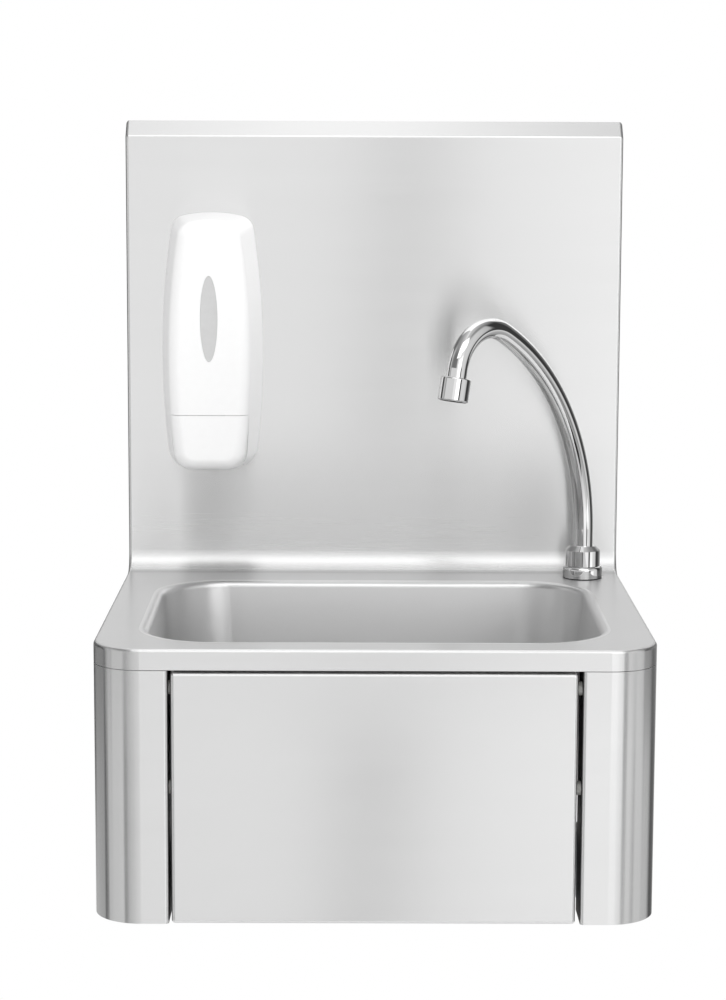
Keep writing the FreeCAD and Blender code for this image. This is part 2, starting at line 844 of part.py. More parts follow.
def waste_screw():
    """Screw that draws the strainer and the waste body together."""
    under_head = V(0, bowl_y, bowl_floor_z - strainer_recess + strainer)
    head = rod(waste_screw_head_radius, under_head, UP, waste_screw_head)
    top_edge = round_edges(head, lambda p: near(p.z, under_head.z + waste_screw_head))
    head = head.makeFillet(waste_screw_head / 2, top_edge)
    length = strainer + bowl_sheet + gasket + web_depth
    return head.fuse(rod(waste_screw_radius, under_head, DOWN, length))


def waste_gasket():
    """Rubber ring between bowl and waste body."""
    start = V(0, bowl_y, bowl_floor_z - strainer_recess - bowl_sheet)
    return ring(gasket_radius, waste_throat_radius, start, DOWN, gasket)


def waste_body():
    """Flange, cross web with the screw boss, and the threaded tail."""
    top = V(0, bowl_y, bowl_floor_z - strainer_recess - bowl_sheet - gasket)
    tail_bore = tail_radius - tail_wall
    flange = ring(waste_flange_radius, tail_bore, top, DOWN, waste_flange)
    tail = ring(tail_radius, tail_bore, top, DOWN, waste_flange + tail_length)
    boss = rod(web_boss_radius, top, DOWN, web_depth)
    limit = rod(tail_bore + tail_wall / 2, top, DOWN, web_depth)
    webs = []
    for quarter_turns in range(2):
        low_y = bowl_y - web_thickness / 2
        arm = box(-tail_radius, tail_radius, low_y, low_y + web_thickness, top.z - web_depth, top.z)
        arm.rotate(top, UP, 90 * quarter_turns)
        webs.append(arm.common(limit))
    screw_hole = rod(waste_screw_radius + seat_clearance, top + UP * overrun, DOWN, web_depth + 2 * overrun)
    return fuse_all([flange, tail, boss] + webs).cut(screw_hole)


def tap_base_seal():
    """Thin rubber ring under the tap's base."""
    start = V(tap_x, tap_y, deck_z)
    return ring(base_radius - base_seal, pipe_thread_radius + seat_clearance, start, UP, base_seal)


def tap_base():
    """Round foot of the tap with its threaded shank through the deck."""
    start = V(tap_x, tap_y, tap_base_z)
    foot = rod(base_radius, start, UP, base_height)
    foot = foot.makeFillet(base_round, round_edges(foot, lambda p: near(p.z, start.z + base_height)))
    shank = rod(pipe_thread_radius, V(tap_x, tap_y, shank_end_z), UP, tap_base_z - shank_end_z)
    socket = rod(spout_radius + running_clearance, start + UP * (spout_foot - touch_gap), UP, base_height)
    bore_start = V(tap_x, tap_y, shank_end_z - overrun)
    bore = rod(shank_bore_radius, bore_start, UP, overrun + shank_length + base_height)
    return foot.fuse(shank).cut([socket, bore])


def tap_union_nut():
    """Nut that holds the spout's foot in the base and lets it swivel."""
    start = V(tap_x, tap_y, tap_base_z + base_height)
    nut = rod(union_radius, start, UP, union_height)
    nut = nut.makeChamfer(union_chamfer, round_edges(nut, lambda p: near(p.z, start.z + union_height)))
    return nut.cut(rod(spout_radius + running_clearance, start, UP, union_height))


def tap_washer_ring():
    """Washer under the deck."""
    start = V(tap_x, tap_y, deck_z - sheet)
    return ring(tap_washer_radius, pipe_thread_radius + seat_clearance, start, DOWN, tap_washer)


def tap_locknut():
    """Nut under the deck that clamps the tap."""
    start = V(tap_x, tap_y, deck_z - sheet - tap_washer)
    return hex_nut(pipe_thread_radius + seat_clearance, tap_nut_wall, start, DOWN, tap_nut)


def spout_stations():
    """Points of the spout's centre line: reach and height above the deck, in its own plane."""
    large = math.radians(spout_large_turn)
    whole = math.radians(spout_large_turn + spout_small_turn)
    half_large = large / 2
    half_small = (large + whole) / 2

    def on_large(turn):
        return spout_large_bend * (1 - math.cos(turn)), spout_rise + spout_large_bend * math.sin(turn)

    end_reach, end_height = on_large(large)

    def on_small(turn):
        reach = end_reach + spout_small_bend * (math.cos(large) - math.cos(turn))
        height = end_height + spout_small_bend * (math.sin(turn) - math.sin(large))
        return reach, height

    tip_reach, tip_height = on_small(whole)
    nose = (tip_reach + spout_nose * math.sin(whole), tip_height + spout_nose * math.cos(whole))
    return [
        (0, base_seal + spout_foot), (0, spout_rise), on_large(half_large), on_large(large),
        on_small(half_small), (tip_reach, tip_height), nose,
    ]


def spout_point(reach, height):
    """A point of the spout's plane in the sink's frame."""
    heading = math.radians(spout_heading)
    return V(tap_x + reach * math.cos(heading), tap_y + reach * math.sin(heading), deck_z + height)


def spout_tube():
    """Swan-neck tube: a long sweep up and a tight turn down."""
    points = [spout_point(*station) for station in spout_stations()]
    edges = [
        Part.LineSegment(points[0], points[1]).toShape(),
        Part.Arc(points[1], points[2], points[3]).toShape(),
        Part.Arc(points[3], points[4], points[5]).toShape(),
        Part.LineSegment(points[5], points[6]).toShape(),
    ]
    return swept_tube(edges, spout_radius, spout_wall)


def nose_axis():
    """End of the spout tube and the way it points."""
    points = [spout_point(*station) for station in spout_stations()]
    return points[6], (points[6] - points[5]).normalize()


def aerator_housing():
    """Round shell screwed over the spout's nose."""
    end, along = nose_axis()
    start = end - along * aerator_overlap
    shell = rod(aerator_radius, start, along, aerator_length)
    shell = shell.makeFillet(aerator_round, [edge for edge in shell.Edges if edge.Closed])
    socket = rod(spout_radius + seat_clearance, start, along, aerator_overlap)
    water_way = rod(spout_radius - spout_wall, start, along, aerator_length)
    chamber = rod(aerator_radius - aerator_wall, end + along * aerator_wall, along, aerator_length)
    return shell.cut([socket, water_way, chamber])


def aerator_insert():
    """Plastic flow straightener inside the housing."""
    end, along = nose_axis()
    start = end + along * aerator_wall
    disc = rod(aerator_radius - aerator_wall - seat_clearance, start, along, insert_depth)
    side = along.cross(UP).normalize()
    across = along.cross(side)
    holes = []
    for index in range(insert_hole_count):
        angle = 2 * math.pi * index / insert_hole_count
        offset = side * math.cos(angle) + across * math.sin(angle)
        hole_start = start + offset * insert_ring_radius
        holes.append(rod(insert_hole_radius, hole_start, along, insert_depth))
    return disc.cut(holes)


def soap_outline(y, side_inset, end_inset):
    """Upright outline of the dispenser: flat foot, two swelling sides and a crowned top."""
    low = soap_z + end_inset
    high = soap_z + soap_height - soap_crown_rise - end_inset
    belly_z = soap_z + soap_height * belly_height_share
    foot = soap_foot / 2 - side_inset
    belly = soap_belly / 2 - side_inset
    crown = soap_crown / 2 - side_inset

    def at(x, z):
        return V(soap_x + x, y, z)

    edges = [
        Part.LineSegment(at(-foot, low), at(foot, low)),
        Part.Arc(at(foot, low), at(belly, belly_z), at(crown, high)),
        Part.Arc(at(crown, high), at(0, high + soap_crown_rise), at(-crown, high)),
        Part.Arc(at(-crown, high), at(-belly, belly_z), at(-foot, low)),
    ]
    return Part.Wire([edge.toShape() for edge in edges])


def soap_form(inset, back_y):
    """Tapered dispenser body with round edges; an inset gives the space inside its wall."""
    taper = soap_front_y - soap_back_y
    extra = (back_y - soap_back_y) / taper
    front_y_inside = soap_front_y + inset
    front_share = 1 - inset / abs(taper)
    back = soap_outline(back_y, inset + soap_side_taper * extra, inset + soap_end_taper * extra)
    front = soap_outline(
        front_y_inside, inset + soap_side_taper * front_share, inset + soap_end_taper * front_share
    )
    body = Part.makeLoft([back, front], True, True)

    def runs_deep(edge):
        ends = [vertex.Point.y for vertex in edge.Vertexes]
        return len(ends) == 2 and abs(ends[0] - ends[1]) > soap_depth / 2

    belly_z = soap_z + soap_height * belly_height_share
    foot = [edge for edge in body.Edges if runs_deep(edge) and edge.CenterOfMass.z < belly_z]
    body = body.makeFillet(soap_foot_round - inset, foot)
    shoulders = [edge for edge in body.Edges if runs_deep(edge) and edge.CenterOfMass.z > belly_z]
    body = body.makeFillet(soap_shoulder_round - inset, shoulders)
    rim = edges_where(body, lambda p: near(p.y, front_y_inside))
    return body.makeFillet(soap_edge_round - inset, rim)


def soap_shell():
    """The dispenser's outer wall, open at the back."""
    return soap_form(0, soap_back_y).cut(soap_form(soap_wall, soap_back_y + overrun))


def lever_block(gap, sweep):
    """Block that parts the push lever from the cover; gap and sweep give the room that it moves in."""
    low = soap_z - overrun
    high = lever_seam_z + gap
    front = soap_front_y - overrun
    top_y = soap_front_y + lever_top_reach + gap
    foot_y = soap_front_y + lever_reach + gap + sweep
    corners = ((front, low), (front, high), (top_y, high), (foot_y, low), (front, low))
    points = [V(soap_x - soap_belly, y, z) for y, z in corners]
    return Part.Face(Part.makePolygon(points)).extrude(V(2 * soap_belly, 0, 0))


def window_prism(shrink, y0, y1):
    """Oval bar through the cover's front."""
    long_axis = V(0, 0, window_height / 2 - shrink)
    center = V(soap_x, y0, soap_z + window_above_foot)
    short_axis = V(window_width / 2 - shrink, 0, 0)
    oval = Part.Ellipse(center + long_axis, center + short_axis, center)
    return Part.Face(Part.Wire(oval.toShape())).extrude(V(0, y1 - y0, 0))


def cross_bar(radius, x0, x1, y, z):
    """A round bar along X between two places in any order."""
    return rod(radius, V(min(x0, x1), y, z), TO_RIGHT, abs(x1 - x0))


def lever_ears():
    """Two ears that hang from the cover's front wall and carry the lever's pin."""
    ears = []
    for side in (-1, 1):
        inner = soap_x + side * lever_ear_x
        outer = inner + side * small_ear
        low_x = min(inner, outer)
        high_x = max(inner, outer)
        root_z = lever_seam_z + small_ear_rise
        ears.append(cross_bar(small_ear_radius, inner, outer, lever_pivot_y, lever_pivot_z))
        ears.append(box(
            low_x, high_x, lever_pivot_y - small_ear_radius, lever_pivot_y + small_ear_radius,
            lever_pivot_z, root_z,
        ))
        ears.append(box(
            low_x, high_x, soap_front_y + soap_wall / 2, lever_pivot_y, lever_seam_z + lever_gap, root_z
        ))
    return fuse_all(ears)


def soap_cover():
    """Hinged cover: shell with room for the lever, open mouth below, oval window and inner ears."""
    half_mouth = mouth_width / 2
    sweep = (lever_height + overrun) * math.sin(math.radians(lever_swing))
    form = soap_form(0, soap_back_y)
    mouth = box(
        soap_x - half_mouth, soap_x + half_mouth, soap_front_y + mouth_setback, splash_y,
        soap_z - overrun, soap_z + mouth_height,
    )
    hinge_relief = box(
        soap_x - soap_belly, soap_x + soap_belly, cover_hinge_y, splash_y, soap_z - overrun, cover_hinge_z
    )
    window = window_prism(0, soap_front_y - overrun, soap_front_y + soap_wall + overrun)
    shell = soap_shell().cut([lever_block(lever_gap, sweep), mouth, hinge_relief, window])
    pieces = [shell, lever_ears().common(form)]
    bore = small_pin_radius + running_clearance
    pin_half = lever_ear_x + small_ear
    bores = [cross_bar(bore, soap_x - pin_half, soap_x + pin_half, lever_pivot_y, lever_pivot_z)]
    for side in (-1, 1):
        inner_x = soap_x + side * (half_mouth + touch_gap)
        hinge_ear_x = inner_x + side * hinge_knuckle
        pieces.append(cross_bar(hinge_ear_radius, inner_x, hinge_ear_x, cover_hinge_y, cover_hinge_z))
        bores.append(cross_bar(bore, soap_x, hinge_ear_x, cover_hinge_y, cover_hinge_z))
    return fuse_all(pieces).cut(bores)


def soap_window():
    """Clear oval lens set in the cover's front."""
    return window_prism(seat_clearance, soap_front_y + window_sink, soap_front_y + soap_wall)


def soap_lever():
    """Push lever: the cover's lower front, with a pivot barrel and a round-ended pusher."""
    shell = soap_shell().common(lever_block(0, 0))
    half_barrel = lever_barrel_length / 2
    barrel_start = V(soap_x - half_barrel, lever_pivot_y, lever_pivot_z)
    barrel = rod(lever_barrel_radius, barrel_start, TO_RIGHT, lever_barrel_length)
    web = box(
        soap_x - half_barrel, soap_x + half_barrel, soap_front_y + soap_wall / 2, lever_pivot_y,
        lever_pivot_z - soap_wall / 2, lever_pivot_z + soap_wall / 2,
    )
    tip = V(soap_x, lever_push_y - lever_push_radius, lever_push_z)
    push_start = V(soap_x, soap_front_y + soap_wall / 2, lever_push_z)
    pusher = rod(lever_push_radius, push_start, TO_WALL, tip.y - push_start.y)
    bore = small_pin_radius + running_clearance
    hole = cross_bar(bore, soap_x - half_barrel, soap_x + half_barrel, lever_pivot_y, lever_pivot_z)
    return fuse_all([shell, barrel, web, pusher, Part.makeSphere(lever_push_radius, tip)]).cut(hole)


def lever_pin():
    """Pin across the cover's ears that carries the lever."""
    half_span = lever_ear_x + small_ear
    return cross_bar(
        small_pin_radius, soap_x - half_span, soap_x + half_span, lever_pivot_y, lever_pivot_z
    )


def knuckle_span(side):
    """Inner and outer faces of a backplate knuckle."""
    outer = soap_x + side * (mouth_width / 2 - touch_gap)
    return outer - side * hinge_knuckle, outer


def cover_hinge_pins():
    """Two short pins in the backplate's knuckles that carry the cover."""
    pins = []
    for side in (-1, 1):
        inner, outer = knuckle_span(side)
        ear_x = outer + side * (touch_gap + hinge_knuckle)
        pins.append(cross_bar(small_pin_radius, inner, ear_x, cover_hinge_y, cover_hinge_z))
    return Part.makeCompound(pins)


def soap_screw_places():
    """Four screws: two above the tank and two beside the pump."""
    above_tank = tank_z + tank_height + soap_screw_room + soap_screw_head_radius
    heights = (soap_z + soap_screw_foot, above_tank)
    offsets = (-soap_screw_span / 2, soap_screw_span / 2)
    return [V(soap_x + offset, splash_y, z) for z in heights for offset in offsets]


def soap_screws():
    """Pan-head screws through backplate and splash."""
    screws = []
    for place in soap_screw_places():
        head_start = place + TO_FRONT * (backplate + soap_screw_head)
        head = rod(soap_screw_head_radius, head_start, TO_WALL, soap_screw_head)
        shank = rod(soap_screw_radius, place + TO_FRONT * backplate, TO_WALL, backplate + soap_screw_grip)
        screws.append(head.fuse(shank))
    return Part.makeCompound(screws)


def soap_backplate():
    """Plate on the splash with the tank's shelf, the nozzle's plate and the cover's hinge knuckles."""
    inset = soap_wall + backplate_inset
    plate = Part.Face(soap_outline(tank_back_y, inset, inset)).extrude(V(0, backplate, 0))
    corners = [edge for edge in plate.Edges if near(edge.Length, backplate)]
    plate = plate.makeFillet(soap_shoulder_round - soap_wall, corners)
    clear_half = mouth_width / 2 - hinge_knuckle / 2
    for side in (-1, 1):
        inner = soap_x + side * clear_half
        outer = soap_x + side * soap_belly
        corner = box(
            min(inner, outer), max(inner, outer), tank_back_y - overrun, splash_y + overrun,
            soap_z - overrun, soap_z + foot_notch_height,
        )
        plate = plate.cut(corner)
    shelf_half = tank_width / 2
    shelf_front_y = tank_back_y - tank_depth
    pieces = [plate]
    pieces.append(box(
        soap_x - shelf_half, soap_x + shelf_half, shelf_front_y, tank_back_y, tank_z - shelf, tank_z
    ))
    nozzle_z = soap_z + nozzle_plate_rise
    nozzle_y = soap_front_y + mouth_setback + touch_gap
    left = knuckle_span(-1)[0]
    right = knuckle_span(1)[0]
    pieces.append(box(left, right, nozzle_y, tank_back_y, nozzle_z, nozzle_z + nozzle_plate))
    for side in (-1, 1):
        inner, outer = knuckle_span(side)
        arm = box(
            min(inner, outer), max(inner, outer), cover_hinge_y, tank_back_y,
            cover_hinge_z - hinge_ear_radius, cover_hinge_z + hinge_ear_radius,
        )
        eye = cross_bar(hinge_ear_radius, inner, outer, cover_hinge_y, cover_hinge_z)
        pieces.append(arm.fuse(eye))
    body = fuse_all(pieces)
    spigot_start = V(soap_x, pump_y, tank_z - shelf - overrun)
    cuts = [rod(spigot_radius + seat_clearance, spigot_start, UP, shelf + 2 * overrun)]
    nozzle_start = V(soap_x, pump_y, nozzle_z - overrun)
    cuts.append(rod(nozzle_radius + touch_gap, nozzle_start, UP, nozzle_plate + 2 * overrun))
    for place in soap_screw_places():
        start = place + TO_FRONT * (backplate + overrun)
        cuts.append(rod(soap_screw_radius + seat_clearance, start, TO_WALL, backplate + 2 * overrun))
    for side in (-1, 1):
        inner, outer = knuckle_span(side)
        first = inner - side * overrun
        last = outer + side * overrun
        cuts.append(cross_bar(small_pin_radius + seat_clearance, first, last, cover_hinge_y, cover_hinge_z))
    return body.cut(cuts)


def soap_tank():
    """Moulded tank on the shelf, with a filling mouth above and a spigot below."""
    x = tank_width / 2
    outer = box(soap_x - x, soap_x + x, tank_back_y - tank_depth, tank_back_y, tank_z, tank_z + tank_height)
    uprights = [edge for edge in outer.Edges if near(edge.Length, tank_height)]
    outer = outer.makeFillet(tank_round, uprights)
    inner = box(
        soap_x - x + tank_wall, soap_x + x - tank_wall, tank_back_y - tank_depth + tank_wall,
        tank_back_y - tank_wall, tank_z + tank_wall, tank_z + tank_height - tank_wall,
    )
    mouth = rod(tank_mouth_radius, V(soap_x, pump_y, tank_z + tank_height - overrun), UP, 2 * overrun)
    spigot_end = V(soap_x, pump_y, tank_z - spigot_length)
    spigot = rod(spigot_radius, spigot_end, UP, spigot_length)
    drain = rod(spigot_radius - tank_wall, spigot_end, UP, spigot_length + overrun)
    return outer.fuse(spigot).cut([inner, mouth, drain])


def tank_lid():
    """Lid with a plug in the tank's mouth."""
    top = V(soap_x, pump_y, tank_z + tank_height)
    plug = rod(tank_mouth_radius - seat_clearance, top, DOWN, lid_plug)
    return rod(lid_radius, top, UP, lid).fuse(plug)


def soap_pump():
    """Pump body under the shelf, with the plunger's bore and the nozzle."""
    head_z = tank_z - shelf
    foot_z = soap_z + pump_foot
    body = rod(pump_radius, V(soap_x, pump_y, foot_z), UP, head_z - foot_z)
    nozzle = rod(nozzle_radius, V(soap_x, pump_y, foot_z), DOWN, nozzle_length)
    socket_depth = spigot_length - shelf + touch_gap
    socket = rod(spigot_radius + seat_clearance, V(soap_x, pump_y, head_z), DOWN, socket_depth)
    bore_start = V(soap_x, pump_front_y, lever_push_z)
    bore = rod(plunger_radius + running_clearance, bore_start, TO_WALL, pump_bore_depth)
    spray = rod(nozzle_bore_radius, V(soap_x, pump_y, foot_z - nozzle_length), UP, nozzle_length)
    return body.fuse(nozzle).cut([socket, bore, spray])


def pump_plunger():
    """Plunger with a flat head in front of the pump."""
    head_start = V(soap_x, plunger_y, lever_push_z)
    stem_end_y = pump_front_y + pump_bore_depth - plunger_travel - plunger_room
    head = rod(plunger_head_radius, head_start, TO_WALL, plunger_head)
    return head.fuse(rod(plunger_radius, head_start, TO_WALL, stem_end_y - plunger_y))


def main():
    """Build every piece and write it to its own file."""
    hot_place, cold_place = inlet_places()
    nodes = {
        "top_and_backsplash": top_and_backsplash(),
        "bowl": bowl(),
        "left_side_panel": left_side_panel(),
        "right_side_panel": right_side_panel(),
        "rear_rail": rear_rail(),
        "valve_crossbar": valve_crossbar(),
        "pivot_pins": headed_pins(pivot_z),
        "pivot_bushes": spacer_bushes(pivot_z),
        "stop_pins": headed_pins(stop_z),
        "stop_bushes": spacer_bushes(stop_z),
        "knee_panel": knee_panel(),
        "knee_buffer": knee_buffer(),
        "valve_button": valve_button(),
        "valve_body": valve_body(),
        "valve_locknut": valve_locknut(),
        "coupling_nut": coupling_nut(),
        "mixer_body": mixer_body(),
        "cold_inlet": inlet_nipple(cold_place),
        "hot_inlet": inlet_nipple(hot_place),
        "temperature_knob": temperature_knob(),
        "supply_pipe": supply_pipe(),
        "valve_pipe_nut": valve_pipe_nut(),
        "tap_pipe_nut": tap_pipe_nut(),
        "waste_strainer": waste_strainer(),
        "waste_screw": waste_screw(),
        "waste_gasket": waste_gasket(),
        "waste_body": waste_body(),
        "tap_base_seal": tap_base_seal(),
        "tap_base": tap_base(),
        "tap_union_nut": tap_union_nut(),
        "tap_washer": tap_washer_ring(),
        "tap_locknut": tap_locknut(),
        "spout_tube": spout_tube(),
        "aerator_housing": aerator_housing(),
        "aerator_insert": aerator_insert(),
        "soap_backplate": soap_backplate(),
        "soap_screws": soap_screws(),
        "soap_tank": soap_tank(),
        "tank_lid": tank_lid(),
        "soap_pump": soap_pump(),
        "pump_plunger": pump_plunger(),
        "cover_hinge_pins": cover_hinge_pins(),
        "soap_cover": soap_cover(),
        "soap_window": soap_window(),
        "soap_lever": soap_lever(),
        "lever_pin": lever_pin(),
    }
    os.makedirs("parts", exist_ok=True)
    for name, shape in nodes.items():
        shape.exportStep("parts/" + name + ".step")


main()
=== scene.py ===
# Looks of the wall-hung knee-operated hand-wash sink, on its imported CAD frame. Lengths in metres.
import json
import math

import bmesh
import bpy
from mathutils import Matrix, Vector


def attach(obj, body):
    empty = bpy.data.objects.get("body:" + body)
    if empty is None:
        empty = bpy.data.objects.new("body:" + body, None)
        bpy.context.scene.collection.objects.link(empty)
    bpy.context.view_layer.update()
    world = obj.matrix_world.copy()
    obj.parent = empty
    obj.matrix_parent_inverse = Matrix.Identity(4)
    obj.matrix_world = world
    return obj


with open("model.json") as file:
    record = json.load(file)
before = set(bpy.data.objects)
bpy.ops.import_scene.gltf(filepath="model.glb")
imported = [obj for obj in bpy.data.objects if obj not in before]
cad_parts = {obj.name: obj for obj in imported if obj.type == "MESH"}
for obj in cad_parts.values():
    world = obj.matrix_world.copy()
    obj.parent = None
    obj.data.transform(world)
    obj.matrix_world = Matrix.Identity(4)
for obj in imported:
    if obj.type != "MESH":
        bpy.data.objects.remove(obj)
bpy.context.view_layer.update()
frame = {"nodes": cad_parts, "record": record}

# Camera of the photograph
camera_place = Vector((-0.0149, -2.115, 0.4222))
camera_yaw = math.radians(0.184)
camera_pitch = math.radians(8.229)
camera_roll = math.radians(0.211)
camera_lens = 93.44
camera_sensor = 36.0

# Threads: name, node they stand on, axis, lowest and highest point, radius and pitch
pipe_thread_radius = 0.01048
pipe_pitch = 0.001814
waste_thread_radius = 0.02095
waste_pitch = 0.002309
threads = (
    ("cold_thread", "cold_inlet", (0.1315, -0.2595), (-0.1357, -0.1233), pipe_thread_radius, pipe_pitch),
    ("hot_thread", "hot_inlet", (0.0995, -0.2595), (-0.1357, -0.1233), pipe_thread_radius, pipe_pitch),
    ("tap_thread", "tap_base", (0.1695, -0.0445), (0.0232, 0.0486), pipe_thread_radius, pipe_pitch),
    ("waste_thread", "waste_body", (0.0, -0.1885), (-0.1217, -0.0842), waste_thread_radius, waste_pitch),
)
# Ridge of a thread: steps in a turn, height above the shank and root below its skin
thread_steps = 48
thread_height = 0.0003
thread_root = 0.0001
# Half its width in pitches, and its run-out in turns
thread_width_share = 0.42
thread_run_out_share = 0.5

# Grain of the brushed sheet: stretch, scale and detail of the fine and broad parts, and the fine one's share
fine_grain = ((6.0, 90.0, 900.0), 4.0, 4.0)
broad_grain = ((1.2, 4.0, 16.0), 3.0, 3.0)
fine_grain_share = 0.6
# Strength and depth of its bump
grain_bump = (0.04, 0.0001)
# Direction of the grain, a little off X so that faces square to X have one too
grain_axis = (1.0, 0.02, 0.0)
# Tint and roughness of the sheet, each from low to high
upright_tint = (0.79, 0.87)
# Level faces take a darker tint than upright ones of the same sheet: painted shade
level_painted_shade_tint = (0.55, 0.61)
upright_roughness = (0.16, 0.2)
cove_roughness = (0.25, 0.29)
level_roughness = (0.28, 0.34)
# How far a face turns up to be level
level_facing = (0.85, 0.98)
# Heights of the duller band round the cove, and the length over which it fades
dull_band = ((0.065, 0.1), 0.1)
# Painted shade on the upright faces inside the gaps beside the knee panel: distance from the middle and its
# fade, depth, and how far they turn sideways
gap_band = ((0.1414, 0.1458), 0.0003)
gap_depths = (-0.3388, -0.3378)
gap_facing = (0.8, 0.95)
# Near-black tint and roughness of that painted shade, where the metal is also taken off
gap_painted_shade_tint = 0.02
gap_roughness = 0.8

# Satin of the drawn bowl, in the same order
satin_fine = ((40.0, 40.0, 40.0), 30.0, 4.0)
satin_broad = ((3.0, 3.0, 3.0), 3.0, 2.0)
satin_fine_share = 0.4
satin_bump = (0.03, 0.0001)
satin_tint = (0.75, 0.81)
satin_roughness = (0.31, 0.35)

# Plated and turned metals: darkest and lightest tint, roughness
metals = {
    "zinc_steel": ((0.5, 0.51, 0.53), (0.66, 0.67, 0.68), 0.3),
    "brass": ((0.6, 0.43, 0.2), (0.76, 0.58, 0.3), 0.22),
    "pipe_steel": ((0.6, 0.6, 0.6), (0.72, 0.72, 0.72), 0.25),
    "chrome": ((0.78, 0.78, 0.78), (0.84, 0.84, 0.84), 0.012),
}
# Stretch, scale and detail of their clouds, and the range of roughness in shares
metal_cloud = ((1.0, 1.0, 1.0), 60.0, 3.0)
metal_roughness_shares = (0.7, 1.3)

# Plastics and rubber: darkest and lightest tint, roughness, scale and depth of the skin
plastics = {
    "nylon": ((0.8, 0.8, 0.77), (0.86, 0.86, 0.83), 0.5, 300.0, 0.00003),
    "black_rubber": ((0.02, 0.02, 0.02), (0.05, 0.05, 0.05), 0.7, 400.0, 0.00008),
    "grey_plastic": ((0.24, 0.24, 0.24), (0.34, 0.34, 0.34), 0.45, 300.0, 0.00005),
    "white_plastic": ((0.93, 0.93, 0.93), (0.96, 0.96, 0.96), 0.3, 160.0, 0.00002),
    "tank_plastic": ((0.72, 0.72, 0.72), (0.8, 0.8, 0.8), 0.4, 200.0, 0.00003),
    "window": ((0.58, 0.58, 0.58), (0.64, 0.64, 0.64), 0.25, 220.0, 0.00002),
}
# Stretch and detail of the skin, strength of its bump, and the range of roughness in shares
skin_stretch = (1.0, 1.0, 1.0)
skin_detail = 2.0
skin_strength = 0.2
skin_roughness_shares = (0.85, 1.15)

# Studio
floor_z = -0.79
floor_y = -0.2
floor_radius = 1.3
floor_corners = 96
floor_colour = (0.8, 0.8, 0.8, 1.0)
floor_roughness = 0.8
white = (1.0, 1.0, 1.0, 1.0)
plain_light = (0.7, 0.7, 0.7, 1.0)
# Lamps: name, place, target, width and height, watts
lamps = (
    ("overhead", (0.0, -0.7, 2.2), (0.0, -0.1, 0.2), (2.0, 1.4), 17.0),
    ("low_panel", (-0.2, -1.7, 0.0), (-0.1, 0.0, 0.15), (1.4, 0.5), 4.0),
    ("left_panel", (-1.6, -2.0, 1.0), (0.0, -0.1, 0.1), (1.2, 1.6), 5.0),
    ("right_panel", (2.2, -1.3, 0.8), (0.0, -0.1, 0.1), (1.2, 1.6), 20.0),
)

# Level that the white of a studio ramp stands for
studio_peak = 1.3
# Brightness around the studio by degrees from the viewer's side to the right, as mirrored above the deck
upper_levels = (
    (-180, 0.7), (-168, 0.66), (-160, 0.3), (-135, 0.13), (-118, 0.13), (-104, 0.25), (-94, 0.6),
    (-84, 0.6), (-76, 0.3), (-57, 0.2), (-32, 0.22), (-18, 0.25), (-10, 0.7), (-7, 0.88), (-5, 0.9),
    (-1, 0.93), (3, 0.95), (6, 1.04), (28, 1.04), (46, 0.77), (66, 0.8), (80, 0.7), (88, 0.6),
    (92, 0.05), (112, 0.05), (126, 0.19), (160, 0.34), (168, 0.66), (180, 0.7),
)
# The same for lower directions, as mirrored by the rim and the front
lower_levels = (
    (-180, 0.62), (-135, 0.67), (-106, 0.64), (-101, 0.14), (-92, 0.14), (-86, 0.62), (-79, 0.7),
    (-47, 0.78), (-42.5, 0.25), (-38, 0.25), (-34, 0.48), (-28, 0.6), (-22, 0.68), (-15, 0.78),
    (-10, 0.87), (-5, 0.93), (1.5, 1.0), (3, 1.05), (5, 1.1), (22, 1.1), (30, 0.95), (38, 0.8),
    (45, 0.62), (57, 0.62), (61.5, 0.36), (66, 0.36), (71, 0.66), (100, 0.74), (116, 0.64),
    (129, 0.1), (145, 0.1), (180, 0.6),
)
# Heights of the direction between which the lower table gives way to the upper one
lower_full = -0.19
upper_full = -0.165
# Dark slot near the viewer, in degrees from its middle, and where it stands and how it leans
slot_levels = ((-8, 1.0), (-1.1, 1.0), (-0.35, 0.62), (0.35, 0.62), (1.1, 1.0), (8, 1.0))
slot_turn = 1.34
slot_lean = 3.8
# Factor on all of it by the height of the direction, from straight down at -1 to straight up at 1
rise_levels = (
    (-1.0, 0.5), (-0.64, 0.55), (-0.42, 0.62), (-0.3, 0.88), (-0.22, 1.12), (-0.15, 1.0), (0.0, 1.0),
    (0.3, 0.95), (0.5, 0.9), (1.0, 1.0),
)
# Light overhead, by the sideways part of the direction, and the heights over which it comes in
overhead_levels = (
    (-1.0, 0.3), (-0.5, 0.35), (-0.25, 0.6), (-0.12, 0.72), (-0.06, 0.88), (-0.02, 0.94), (0.02, 0.9),
    (0.06, 0.74), (0.1, 0.64), (0.25, 0.55), (0.5, 0.3), (1.0, 0.25),
)
overhead_from = 0.6
overhead_full = 0.8
# Patches of the studio: degrees across, heights and brightness, laid over each other in this order
patches = (
    ((-162, -96), (-0.25, 0.4), 0.08),
    ((-190, -140), (0.4, 1.0), 1.3),
    ((140, 190), (0.4, 1.0), 1.3),
    ((42, 62), (-0.205, -0.17), 1.2),
    ((-140, -101), (-0.245, -0.17), 0.4),
    ((-140, -101), (-0.225, -0.17), 0.2),
    ((-72, -9), (-0.1, 0.26), 0.8),
    ((-10, 10), (0.14, 0.5), 1.0),
    ((-28, 40), (0.52, 0.88), 1.75),
    ((10, 34), (0.06, 0.36), 1.8),
    ((36, 43), (-0.165, 0.1), 0.03),
    ((24, 42), (-0.95, -0.42), 0.05),
)
# Soft edges of a patch, in degrees and in height
turn_edge = 3.0
rise_edge = 0.02

# Places of the Mix node's sockets, for numbers and for colours
mix_numbers = (0, 2, 3)
mix_colours = (0, 6, 7)
mix_colour_out = 2


def socket(node, name, value):
    """Set one input of a node."""
    node.inputs[name].default_value = value


